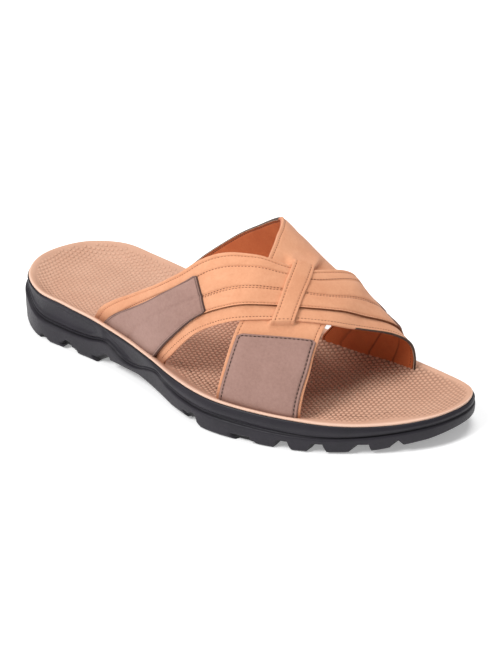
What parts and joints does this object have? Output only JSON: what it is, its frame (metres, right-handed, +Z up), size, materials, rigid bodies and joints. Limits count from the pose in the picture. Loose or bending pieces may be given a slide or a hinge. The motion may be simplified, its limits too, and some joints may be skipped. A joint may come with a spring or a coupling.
{
  "type": "slide sandal",
  "caption": "Slide sandal for the right foot: grooved rubber sole, dimpled footbed and crossing nubuck straps joined by a short bridge.",
  "frame": {"origin": "on the ground plane, under the middle of the sandal's bounding box", "axes": "+X from heel to toe, +Y towards the inner side of the foot, +Z up"},
  "size_m": [0.2902, 0.1119, 0.0945],
  "materials": {
    "sole_rubber": "semi-matt moulded",
    "footbed_foam": "matt, dimpled",
    "strap_nubuck": "nubuck",
    "patch_nubuck": "nubuck"
  },
  "bodies": {
    "root": {"outsole": "sole_rubber", "footbed": "footbed_foam", "upper": "strap_nubuck", "lateral_rear_patch": "patch_nubuck", "lateral_front_patch": "patch_nubuck", "medial_front_patch": "patch_nubuck", "medial_rear_patch": "patch_nubuck"}
  },
  "joints": []
}
